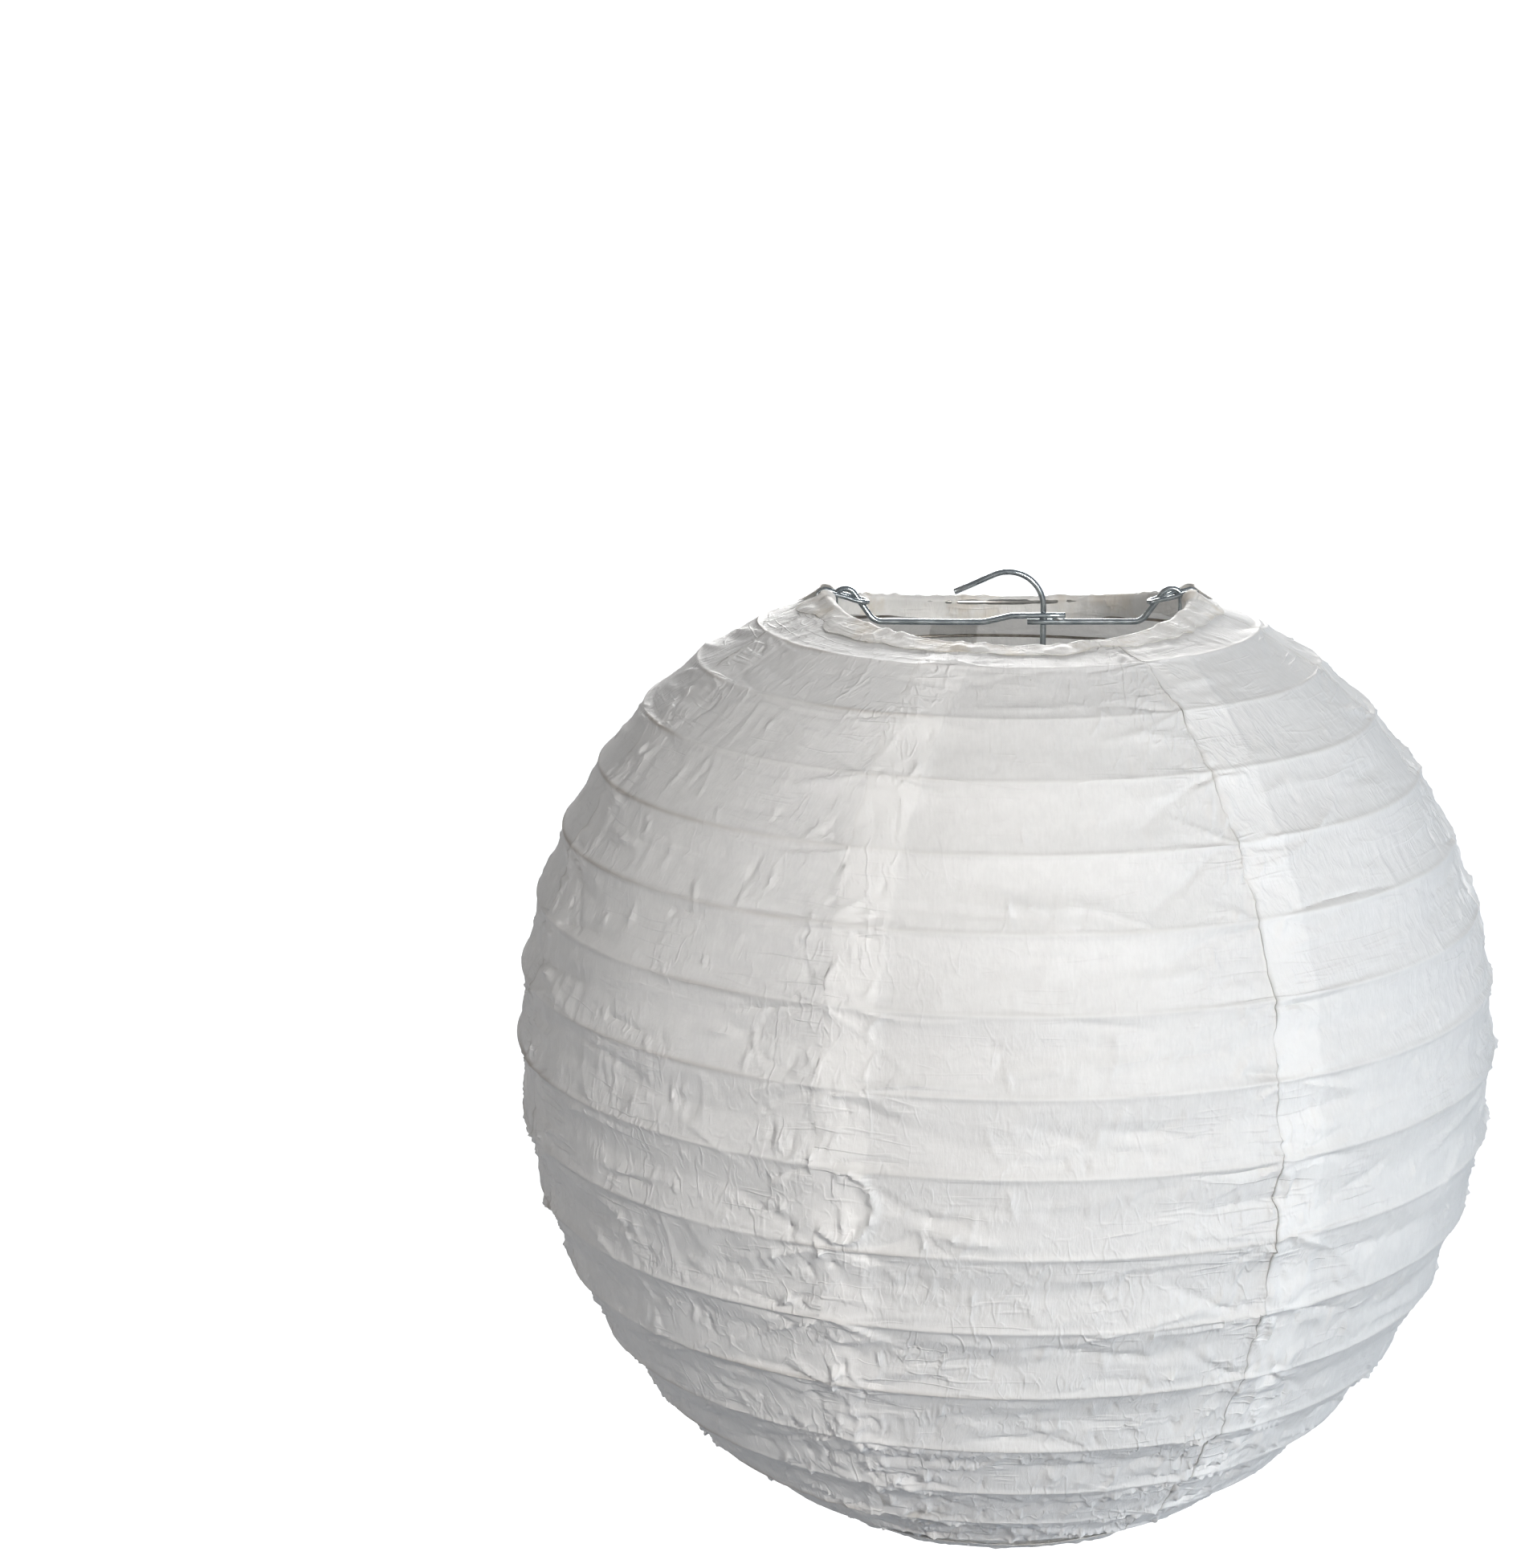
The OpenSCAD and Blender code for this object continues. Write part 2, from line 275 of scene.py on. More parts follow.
# One crumpled pocket in the double layer of the seam left of the front
POCKET_V = LEVEL_V[9] - 10.5
for step in range(9):
    turn = math.radians(-105 + 210 * step / 8)
    add_crease(
        seam_angle(0) + (7.5 + 7.0 * math.cos(turn)) / radius_at(POCKET_V),
        POCKET_V + 8.0 * math.sin(turn),
        turn + math.pi / 2,
        5.0,
        0.8,
        0.75,
        "both",
    )


def crease_height(theta, v, radius):
    """Sum of the creases over a grid whose rows have one v and one radius each."""
    total = np.zeros_like(theta)
    rows = v[:, 0]
    mid_theta = theta.mean()
    for at, start_v, heading, length, width, height, fade, bend in creases:
        at = at + TAU * np.round((mid_theta - at) / TAU)
        reach = length + 4 * width
        first, last = np.searchsorted(rows, [start_v - reach, start_v + reach])
        if first == last:
            continue
        part = slice(first, last)
        across = (theta[part] - at) * radius[part]
        near = np.abs(across) < reach
        columns = np.nonzero(near.any(0))[0]
        if not len(columns):
            continue
        part = (part, slice(columns[0], columns[-1] + 1))
        across, down = (theta[part] - at) * radius[part], v[part] - start_v
        along = across * math.cos(heading) + down * math.sin(heading)
        off = -across * math.sin(heading) + down * math.cos(heading)
        off = off - bend * along * along
        end = np.clip(along / length, 0, 1)
        if fade == "start":
            window = smooth(along, -1.0, 0.6) * (1 - end) ** 0.8
        else:
            window = np.sin(math.pi * end) ** 0.7
        width_here = width * (0.7 + 0.6 * end) if fade == "start" else width
        total[part] += CREASE_SCALE * height * window * np.exp(-((np.abs(off) / width_here) ** 1.15))
    return total * np.interp(v, LEVEL_V[CREASED_LEVELS], CREASED)


# Width, height and depth of the cells that the paper's broader folds outline, and a seed
FOLD_NET = ((8.0, 13.6, 0.42, 27), (5.2, 8.8, -0.28, 28), (13.0, 22.0, 0.36, 29), (30.0, 6.5, 0.34, 30))


def crumple(theta, v):
    """Unevenness all over the paper, from broad waves to grain."""
    waves = 0.22 * round_noise(theta, v, 34, 15, 21)
    dents = 0.15 * round_noise(theta, v, 11, 7, 22) + 0.1 * round_noise(theta, v, 5.5, 4.5, 23)
    lower = smooth(v, LEVEL_V[3], LEVEL_V[11])
    fine = (0.045 + 0.045 * lower) * round_noise(theta, v, 2.6, 2.6, 24)
    streaks = (0.045 + 0.045 * lower) * round_noise(theta, v, 3.2, 12, 25)
    patches = smooth(round_noise(theta, v, 26, 17, 26), -0.15, 0.55) * (0.4 + 0.6 * lower)
    folds = 0
    for size, tall, height, seed in FOLD_NET:
        line = np.abs(round_noise(theta, v, size, tall, seed)) * min(size, tall) / 1.5
        folds = folds + height * np.exp(-(line**1.2))
    return waves * (0.6 + 0.4 * lower) + dents * (0.6 + 0.8 * lower) + fine + streaks + folds * patches


# ---------------------------------------------------------------- meshes


def band_rows():
    """Levels s of the paper's rows, closer together near each hoop."""
    # Distances from a hoop in millimetres, where half a band is 9.3
    half = np.array([0, 0.35, 0.7, 1.1, 1.6, 2.2, 2.9, 3.7, 4.55, 5.45, 6.4, 7.35, 8.3])
    rows = []
    for k in range(LAST):
        steps = half / 9.3 / 2
        rows += list(k + steps) + [k + 0.5] + list(k + 1 - steps[:0:-1])
    return np.array(rows + [float(LAST)])


SHARP_A = math.radians(65)  # an edge sharper than this is a paper edge or a cut wire end


def new_object(name, verts_mm, faces, material):
    mesh = bpy.data.meshes.new(name)
    mesh.from_pydata((np.asarray(verts_mm) * MM).tolist(), [], faces)
    mesh.materials.append(material)
    mesh.update()
    mesh.shade_smooth()
    mesh.set_sharp_from_angle(angle=SHARP_A)
    obj = bpy.data.objects.new(name, mesh)
    bpy.context.scene.collection.objects.link(obj)
    return obj


def grid_faces(rows, cols, base=0, flip=False):
    i, j = np.meshgrid(np.arange(rows - 1), np.arange(cols - 1), indexing="ij")
    a = base + i * cols + j
    quads = np.stack([a, a + 1, a + cols + 1, a + cols], -1).reshape(-1, 4)
    return (quads[:, ::-1] if flip else quads).tolist()


def grid_normals(points):
    du = np.gradient(points, axis=1)
    dv = np.gradient(points, axis=0)
    normal = np.cross(dv, du)
    return normal / np.maximum(np.linalg.norm(normal, axis=-1, keepdims=True), 1e-9)


def shell(name, points, lining, thickness, materials, facts):
    """A thin closed shell whose outer face is the grid of points, and whose inner face is every second
    point of the grid called lining, less the thickness. facts are arrays over the grid, kept as
    attributes; 'u' and 'v' also make the UV map."""
    rows, cols = points.shape[:2]
    normal = grid_normals(lining)
    middle = (rows // 2, cols // 2)
    outward = (normal[middle] * (points[middle] - lining[middle])).sum()
    if abs(outward) < 1e-9:
        outward = (normal[middle] * (points[middle] - [0, 0, CENTRE_Z])).sum()
    turned = outward > 0
    normal = normal if turned else -normal
    inner = (lining - normal * thickness)[::2, ::2]
    inner_rows, inner_cols = inner.shape[:2]
    count = rows * cols
    verts = np.concatenate([points.reshape(-1, 3), inner.reshape(-1, 3)])
    faces = grid_faces(rows, cols, 0, turned) + grid_faces(inner_rows, inner_cols, count, not turned)

    def border(height, width, base):
        return (
            [base + j for j in range(width)]
            + [base + i * width + width - 1 for i in range(1, height)]
            + [base + (height - 1) * width + j for j in range(width - 2, -1, -1)]
            + [base + i * width for i in range(height - 2, 0, -1)]
        )

    outside, inside = border(rows, cols, 0), border(inner_rows, inner_cols, count)
    outside.append(outside[0])
    inside.append(inside[0])
    for i in range(len(inside) - 1):
        edge = [*outside[2 * i : 2 * i + 3], inside[i + 1], inside[i]]
        faces.append(edge if turned else edge[::-1])
    obj = new_object(name, verts, faces, materials[0])
    mesh = obj.data
    mesh.materials.append(materials[1])
    outer_faces, inner_faces = (rows - 1) * (cols - 1), (inner_rows - 1) * (inner_cols - 1)
    side = np.zeros(len(mesh.polygons), np.int32)
    side[outer_faces : outer_faces + inner_faces] = 1
    mesh.polygons.foreach_set("material_index", side)
    for key, value in facts.items():
        both = np.concatenate([value.reshape(-1), value[::2, ::2].reshape(-1)]).astype(np.float32)
        facts[key] = both
        mesh.attributes.new(key, "FLOAT", "POINT").data.foreach_set("value", both)
    corner = np.empty(len(mesh.loops), np.int32)
    mesh.loops.foreach_get("vertex_index", corner)
    uv = np.stack([facts["u"], facts["v"]], -1) / 100
    mesh.uv_layers.new(name="paper").data.foreach_set("uv", uv[corner].astype(np.float32).reshape(-1))
    return obj


def lowest_near(grid):
    """The lowest value of each point and its neighbours."""
    wide = np.pad(grid, 1, mode="edge")
    height, width = grid.shape
    return np.min([wide[i : i + height, j : j + width] for i in range(3) for j in range(3)], axis=0)


def tube(name, points, radius, material, closed=False, sides=16):
    """A round wire along points, its ends cut flat with a small chamfer."""
    points = np.asarray(points, float)
    count = len(points)
    if closed:
        tangent = np.roll(points, -1, 0) - np.roll(points, 1, 0)
    else:
        tangent = np.gradient(points, axis=0)
    tangent /= np.linalg.norm(tangent, axis=1, keepdims=True)
    first = np.cross(tangent[0], [0.31, 0.93, 0.2] if abs(tangent[0][1]) < 0.9 else [1, 0, 0])
    normals = [first / np.linalg.norm(first)]
    for t in tangent[1:]:
        n = normals[-1] - t * (normals[-1] @ t)
        normals.append(n / np.linalg.norm(n))
    normals = np.array(normals)
    if closed:  # the same turn everywhere, so that the last ring meets the first
        normals = np.array([0, 0, 1.0]) - tangent * tangent[:, 2:]
        normals /= np.linalg.norm(normals, axis=1, keepdims=True)
    side = np.cross(tangent, normals)
    angle = np.arange(sides) * TAU / sides
    size = np.full(count, radius)
    if not closed:
        lead = tangent[0] * radius * 0.18
        points = np.concatenate([[points[0] - lead], points, [points[-1] + tangent[-1] * radius * 0.18]])
        size = np.concatenate([[radius * 0.8], size, [radius * 0.8]])
        normals = np.concatenate([normals[:1], normals, normals[-1:]])
        side = np.concatenate([side[:1], side, side[-1:]])
        count += 2
    rings = (
        points[:, None]
        + size[:, None, None]
        * (np.cos(angle)[None, :, None] * normals[:, None] + np.sin(angle)[None, :, None] * side[:, None])
    )
    faces = []
    for i in range(count if closed else count - 1):
        a, b = i * sides, (i + 1) % count * sides
        faces += [[a + j, b + j, b + (j + 1) % sides, a + (j + 1) % sides] for j in range(sides)]
    if not closed:
        faces += [list(range(sides)), list(range((count - 1) * sides, count * sides))[::-1]]
    return new_object(name, rings.reshape(-1, 3), faces, material)


def bent(path, bends, step=math.radians(6)):
    """Points along a flat path with a round bend at each of its corners."""
    path = [np.array(p, float) for p in path]
    points = [path[0]]
    for before, here, after, radius in zip(path, path[1:], path[2:], bends[1:]):
        into, away = here - before, after - here
        into, away = into / np.linalg.norm(into), away / np.linalg.norm(away)
        turn = math.atan2(into[0] * away[1] - into[1] * away[0], into @ away)
        side = math.copysign(1, turn)
        start = here - into * radius * math.tan(abs(turn) / 2)
        centre = start + side * radius * np.array([-into[1], into[0]])
        steps = max(2, math.ceil(abs(turn) / step))
        x, y = start - centre
        for j in range(steps + 1):
            a = turn * j / steps
            arm = [x * math.cos(a) - y * math.sin(a), x * math.sin(a) + y * math.cos(a)]
            points.append(centre + np.array(arm))
    points.append(path[-1])
    return np.array(points)


def fine_steps(points, step):
    """The same line with extra points, so that it can be bent by hand."""
    out = [points[0]]
    for a, b in zip(points, points[1:]):
        count = max(1, int(np.linalg.norm(b - a) / step))
        out += [a + (b - a) * (i + 1) / count for i in range(count)]
    return np.array(out)


# ---------------------------------------------------------------- materials


def nodes_of(name):
    material = bpy.data.materials.new(name)
    material.use_nodes = True
    tree = material.node_tree
    tree.nodes.clear()
    return material, tree


class Graph:
    """Short names for adding and joining shader nodes."""

    def __init__(self, tree):
        self.tree = tree

    def node(self, kind, **values):
        made = self.tree.nodes.new(kind)
        for key, value in values.items():
            if key in made.inputs:
                made.inputs[key].default_value = value
            else:
                setattr(made, key, value)
        return made

    def link(self, out, into):
        self.tree.links.new(out, into)

    def math(self, operation, a, b=None, clamp=False):
        made = self.tree.nodes.new("ShaderNodeMath")
        made.operation, made.use_clamp = operation, clamp
        for socket, value in zip(made.inputs, (a, b)):
            if value is None:
                continue
            if isinstance(value, (int, float)):
                socket.default_value = value
            else:
                self.link(value, socket)
        return made.outputs[0]

    def mix(self, share, a, b):
        made = self.tree.nodes.new("ShaderNodeMix")
        made.data_type = "RGBA"
        for socket, value in ((made.inputs[0], share), (made.inputs[6], a), (made.inputs[7], b)):
            if isinstance(value, (int, float)):
                socket.default_value = value
            elif isinstance(value, tuple):
                socket.default_value = (*value, 1)
            else:
                self.link(value, socket)
        return made.outputs[2]

    def ramp(self, value, low, high):
        made = self.node("ShaderNodeMapRange", interpolation_type="SMOOTHSTEP")
        made.inputs["From Min"].default_value = low
        made.inputs["From Max"].default_value = high
        self.link(value, made.inputs["Value"])
        return made.outputs[0]

    def noise(self, vector, scale, detail=2.0, rough=0.5):
        made = self.node("ShaderNodeTexNoise", Scale=scale, Detail=detail, Roughness=rough)
        self.link(vector, made.inputs["Vector"])
        return made.outputs["Fac"]

    def scaled(self, vector, scale):
        made = self.node("ShaderNodeMapping")
        made.inputs["Scale"].default_value = scale
        self.link(vector, made.inputs["Vector"])
        return made.outputs[0]


# Across, down, width of line and depth, in millimetres but for the width
FINE_FOLDS = (
    (6.0, 15.0, 0.05, 0.8),
    (3.6, 8.0, 0.06, 0.35),
    (46.0, 6.0, 0.035, 0.8),
    (10.0, 10.0, 0.045, 0.5),
)


def paper_material(name, white, stain, see_through):
    material, tree = nodes_of(name)
    g = Graph(tree)
    out = g.node("ShaderNodeOutputMaterial")
    uv = g.node("ShaderNodeUVMap", uv_map="paper").outputs[0]
    place = g.node("ShaderNodeTexCoord").outputs["Object"]
    ridge = g.node("ShaderNodeAttribute", attribute_name="ridge").outputs["Fac"]
    double = g.node("ShaderNodeAttribute", attribute_name="double").outputs["Fac"]
    stained = g.node("ShaderNodeAttribute", attribute_name="stain").outputs["Fac"]
    fibres = g.noise(g.scaled(uv, (140, 30, 1)), 1.0, 3.0, 0.6)
    strands = g.noise(g.scaled(uv, (260, 60, 1)), 1.0, 2.0, 0.5)
    clouds = g.noise(place, 260.0, 4.0, 0.65)
    broad = g.noise(place, 28.0, 2.0, 0.5)
    grain = g.math("ADD", g.math("MULTIPLY", fibres, 0.5), g.math("MULTIPLY", clouds, 0.5))
    shade = tuple(c * 0.93 for c in white)
    bright = tuple(min(1.0, c * 1.09) for c in white)
    colour = g.mix(g.ramp(grain, 0.35, 0.68), shade, white)
    colour = g.mix(g.math("MULTIPLY", g.ramp(broad, 0.35, 0.75), 0.2), colour, bright)
    colour = g.mix(g.math("MULTIPLY", double, 0.85), colour, bright)
    # Painted highlight: the paper is made lighter along each hoop's crest, but not where the wire's dark
    # line is painted.
    painted_crest_highlight = g.math("MULTIPLY", ridge, g.math("SUBTRACT", 1.0, stained, True))
    colour = g.mix(g.math("MULTIPLY", painted_crest_highlight, 0.6), colour, (0.97, 0.965, 0.95))
    # Painted shade: the hoop's wire showing through the paper as a dark brown line, patchy and mostly on the
    # left side.
    rust_and_rib_shade = g.math("MULTIPLY", g.math("MULTIPLY", ridge, stained), g.ramp(broad, 0.3, 0.6))
    colour = g.mix(g.math("MULTIPLY", rust_and_rib_shade, 0.55), colour, (0.36, 0.29, 0.21))
    grime = g.node("ShaderNodeAttribute", attribute_name="grime").outputs["Fac"]
    dirt = g.math("MULTIPLY", grime, g.ramp(g.noise(place, 160.0, 4.0, 0.65), 0.42, 0.62))
    colour = g.mix(g.math("MULTIPLY", dirt, 0.55), colour, (0.5, 0.46, 0.39))
    # Painted shadow along the paper's free edges: under a seam's lifted lap and at a hem's skirt.
    edge = g.node("ShaderNodeAttribute", attribute_name="edge").outputs["Fac"]
    colour = g.mix(g.math("MULTIPLY", edge, 0.75), colour, (0.45, 0.43, 0.39))
    crinkled = g.node("ShaderNodeAttribute", attribute_name="crinkled").outputs["Fac"]
    hem_spots = g.ramp(g.noise(place, 75.0, 4.0, 0.6), 0.5, 0.66)
    colour = g.mix(g.math("MULTIPLY", hem_spots, stain), colour, (0.62, 0.5, 0.33))
    specks = g.ramp(g.noise(place, 520.0, 1.0, 0.4), 0.845, 0.88)
    colour = g.mix(g.math("MULTIPLY", specks, 0.6), colour, (0.25, 0.22, 0.18))
    height = g.math("ADD", g.math("MULTIPLY", fibres, 0.5), g.math("MULTIPLY", strands, 0.3))
    height = g.math("ADD", height, g.math("MULTIPLY", clouds, 0.5))
    folds = None
    for across, down, width, depth in FINE_FOLDS:  # sharp little folds, finer than the mesh
        line = g.noise(g.scaled(uv, (100 / across, 100 / down, 1)), 1.0, 2.0, 0.55)
        line = g.math("ABSOLUTE", g.math("SUBTRACT", line, 0.5))
        line = g.math("SUBTRACT", 1.0, g.ramp(line, 0.0, width))
        where = g.ramp(g.noise(place, 4000 / across / down + 45.0, 2.0, 0.5), 0.44, 0.6)
        line = g.math("MULTIPLY", g.math("MULTIPLY", line, where), depth)
        folds = line if folds is None else g.math("ADD", folds, line)
    folds = g.math("MULTIPLY", folds, crinkled)
    fibrous = g.node("ShaderNodeBump", Strength=0.6, Distance=0.0003)
    g.link(height, fibrous.inputs["Height"])
    creased = g.node("ShaderNodeBump", Strength=0.7, Distance=0.0004)
    g.link(folds, creased.inputs["Height"])
    g.link(fibrous.outputs[0], creased.inputs["Normal"])
    front = g.node("ShaderNodeBsdfPrincipled")
    g.link(colour, front.inputs["Base Color"])
    g.link(creased.outputs[0], front.inputs["Normal"])
    front.inputs["Roughness"].default_value = 0.52
    front.inputs["Specular IOR Level"].default_value = 0.42
    front.inputs["Sheen Weight"].default_value = 0.08
    through = g.node("ShaderNodeBsdfTranslucent")
    g.link(colour, through.inputs["Color"])
    g.link(creased.outputs[0], through.inputs["Normal"])
    both = g.node("ShaderNodeMixShader", Fac=see_through)
    g.link(front.outputs[0], both.inputs[1])
    g.link(through.outputs[0], both.inputs[2])
    g.link(both.outputs[0], out.inputs["Surface"])
    return material


def wire_material(name, colour, dark, roughness, rust_and_rib_shade=0.0):
    material, tree = nodes_of(name)
    g = Graph(tree)
    out = g.node("ShaderNodeOutputMaterial")
    place = g.node("ShaderNodeTexCoord").outputs["Object"]
    cloud = g.noise(place, 260.0, 4.0, 0.65)
    tone = g.mix(g.ramp(cloud, 0.36, 0.7), dark, colour)
    spots = g.ramp(g.noise(place, 90.0, 4.0, 0.7), 0.52, 0.7)
    tone = g.mix(g.math("MULTIPLY", spots, rust_and_rib_shade), tone, (0.28, 0.17, 0.1))
    steel = g.node("ShaderNodeBsdfPrincipled")
    steel.inputs["Metallic"].default_value = 1.0
    rough = g.math("ADD", g.math("MULTIPLY", cloud, 0.16), roughness - 0.08)
    g.link(tone, steel.inputs["Base Color"])
    g.link(rough, steel.inputs["Roughness"])
    g.link(steel.outputs[0], out.inputs["Surface"])
    return material


PAPER = paper_material("creased_paper", (0.89, 0.886, 0.876), 0.0, 0.3)
# The inner faces get a lighter, more see-through copy of the paper: painted light that makes the inside of
# the ball brighter.
PAPER_INSIDE = paper_material("paper_inside", (0.93, 0.925, 0.915), 0.0, 0.85)
HEM_PAPER = paper_material("glued_hem_paper", (0.88, 0.87, 0.845), 0.3, 0.25)
ZINC = wire_material("zinc_wire", (0.54, 0.58, 0.6), (0.35, 0.39, 0.41), 0.24)
WELD = wire_material("weld_bead", (0.42, 0.44, 0.45), (0.22, 0.22, 0.22), 0.42, 0.25)
RING_STEEL = wire_material("ring_steel", (0.56, 0.55, 0.53), (0.36, 0.35, 0.33), 0.36, 0.25)
RIB_STEEL = wire_material("rib_steel", (0.45, 0.42, 0.38), (0.28, 0.25, 0.22), 0.42, 0.45)

# ---------------------------------------------------------------- the paper gores

COLS = 183  # points across a gore
BAND = 19.0  # about how far apart the hoops are, down the paper
GRAIN_STEP = 411.0  # between the grain of one gore and that of the next


def gore_grid(index):
    """Levels and angles of a gore's grid: from its free left edge to its right edge, which is
    tucked under the next gore."""
    s = np.repeat(band_rows()[:, None], COLS, 1)
    v = np.interp(s, np.arange(LAST + 1), LEVEL_V)
    radius = radius_at(v)
    across = np.linspace(0, 1, COLS)[None, :]
    start = seam_angle(index)
    wave = 0.6 * lattice_noise(v / 7.0, v * 0 + index * 3.7, 97, 31)
    wave += 0.4 * lattice_noise(v / 2.4, v * 0 + index, 211, 32)
    span = GORE_A + LAP_W / radius
    theta = start + span * across + wave / radius * np.exp(-across * 30)
    notch = sum(np.exp(-(((np.sin((theta - eye) / 2) * 2 * RING_R) / 3.4) ** 4)) for eye in (0, math.pi))
    top = 0.02 + NECK_NOTCH * notch
    s = np.where(s < 1, top + (1 - top) * s, s)
    s = np.where(s > LAST - 1, LAST - 1 + (s - LAST + 1) * 0.985, s)
    v = np.interp(s, np.arange(LAST + 1), LEVEL_V)
    return s, theta, v, radius_at(v)


SEAM_LOOSE = (0.04, 0.5, 0.1, 0.05, 0.25)  # how far each seam's free edge curls up
SEAM_EDGE_SHADE = (0.2, 0.75, 0.45, 0.3, 0.6)  # how dark the painted shadow along each seam's free edge is
SEAM_WHITE = (0.95, 0.6, 0.6, 0.8, 0.5, 0.9, 0.6, 0.95)  # how much the two layers show


def gore_lift(index, from_edge, v):
    """How far the lapped layer stands off: over the layer below it, and curling at its free edge."""
    lap = LAP_GAP + PAPER_T * smooth(from_edge, 0, 2.5)
    lap = lap * (1 - smooth(from_edge, LAP_W + 0.2, LAP_W + 1.6))
    loose = SEAM_LOOSE[index % len(SEAM_LOOSE)]
    curl = loose * (0.2 + np.clip(lattice_noise(v / 7.0, v * 0 + index * 5.1, 83, 41), 0, 1))
    return lap + curl * np.exp(-from_edge / 1.5)


def gore_piece(index):
    s, theta, v, radius = gore_grid(index)
    shape = band_shape(s, theta)
    uneven = crumple(theta, v) + crease_height(theta, v, radius)
    from_wire = np.minimum(s % 1, 1 - s % 1) * BAND
    on_wire = np.exp(-((from_wire / 1.3) ** 2))
    uneven = np.where(uneven < 0, uneven * (1 - on_wire), uneven * (1 - 0.55 * on_wire))
    at_neck = smooth(s, 0.0, 0.25) * smooth(LAST - s, 0.0, 0.25)
    from_edge = (theta - theta[:, :1]) * radius
    out = shape * at_neck + uneven * at_neck + gore_lift(index, from_edge, v) * (0.4 + 0.6 * at_neck)
    points = paper_point(s, theta, out)
    lining = paper_point(s, theta, lowest_near(out))
    under_next = (theta - seam_angle(index + 1)) * radius
    double = np.maximum(1 - smooth(from_edge, LAP_W - 0.3, LAP_W + 0.3), smooth(under_next, -0.4, 0.4))
    white = np.where(from_edge < GORE_A * radius / 2, SEAM_WHITE[index], SEAM_WHITE[index + 1])
    left = np.clip(-np.cos(theta), 0, 1)
    # Where the hoop's wire is painted as a dark line through the paper: patchy, and mostly on the left side.
    stain = smooth(round_noise(theta, v, 40, 20, 51), -0.5, 0.6) * (0.25 + 0.75 * left)
    lower = smooth(v, LEVEL_V[4], LEVEL_V[11])
    by_seam = np.exp(-((np.minimum(from_edge, np.abs(under_next)) / 16) ** 2))
    patchy = smooth(round_noise(theta, v, 24, 16, 52), -0.2, 0.5)
    low_spot = np.exp(-(((theta - seam_angle(0)) * radius - 4) ** 2 + (v - LEVEL_V[14] - 4) ** 2) / 17**2)
    facts = {
        "u": (theta - theta[:, COLS // 2 : COLS // 2 + 1]) * radius,
        "v": v + index * GRAIN_STEP,
        "crinkled": np.clip(0.3 + 0.6 * lower * (0.3 + 0.7 * patchy) + 0.4 * by_seam, 0, 1),
        # Painted shadow under each seam's lifted free edge
        "edge": SEAM_EDGE_SHADE[index % len(SEAM_EDGE_SHADE)]
        * np.exp(-((from_edge / 0.6) ** 2))
        * smooth(round_noise(theta, v, 60, 9, 53), -0.9, 0.3),
        "grime": np.clip(low_spot + np.exp(-((s / 0.35) ** 2)) * 0.5, 0, 1),
        "ridge": np.exp(-((from_wire / 0.55) ** 2)),
        "double": double * white,
        "stain": stain,
    }
    name = f"gore_{index + 1}"
    obj = shell(name, points, lining, PAPER_T, (PAPER, PAPER_INSIDE), facts)
    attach(obj, "shade_top")
    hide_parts(GORES[index])
    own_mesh(obj)


for index in range(len(GORES)):
    gore_piece(index)

# ---------------------------------------------------------------- the paper hems round the rings

HEM_T = 0.14
HEM_GAP = 3.2  # half the opening left for an eye or a foot
HEM_REACH = RING_WIRE / 2 + PAPER_GAP + 2 * PAPER_T + LAP_GAP + HEM_T + 0.1
HEM_BUNCH = 1.2  # how much further out the hem stands at its ends, beside an eye or a foot


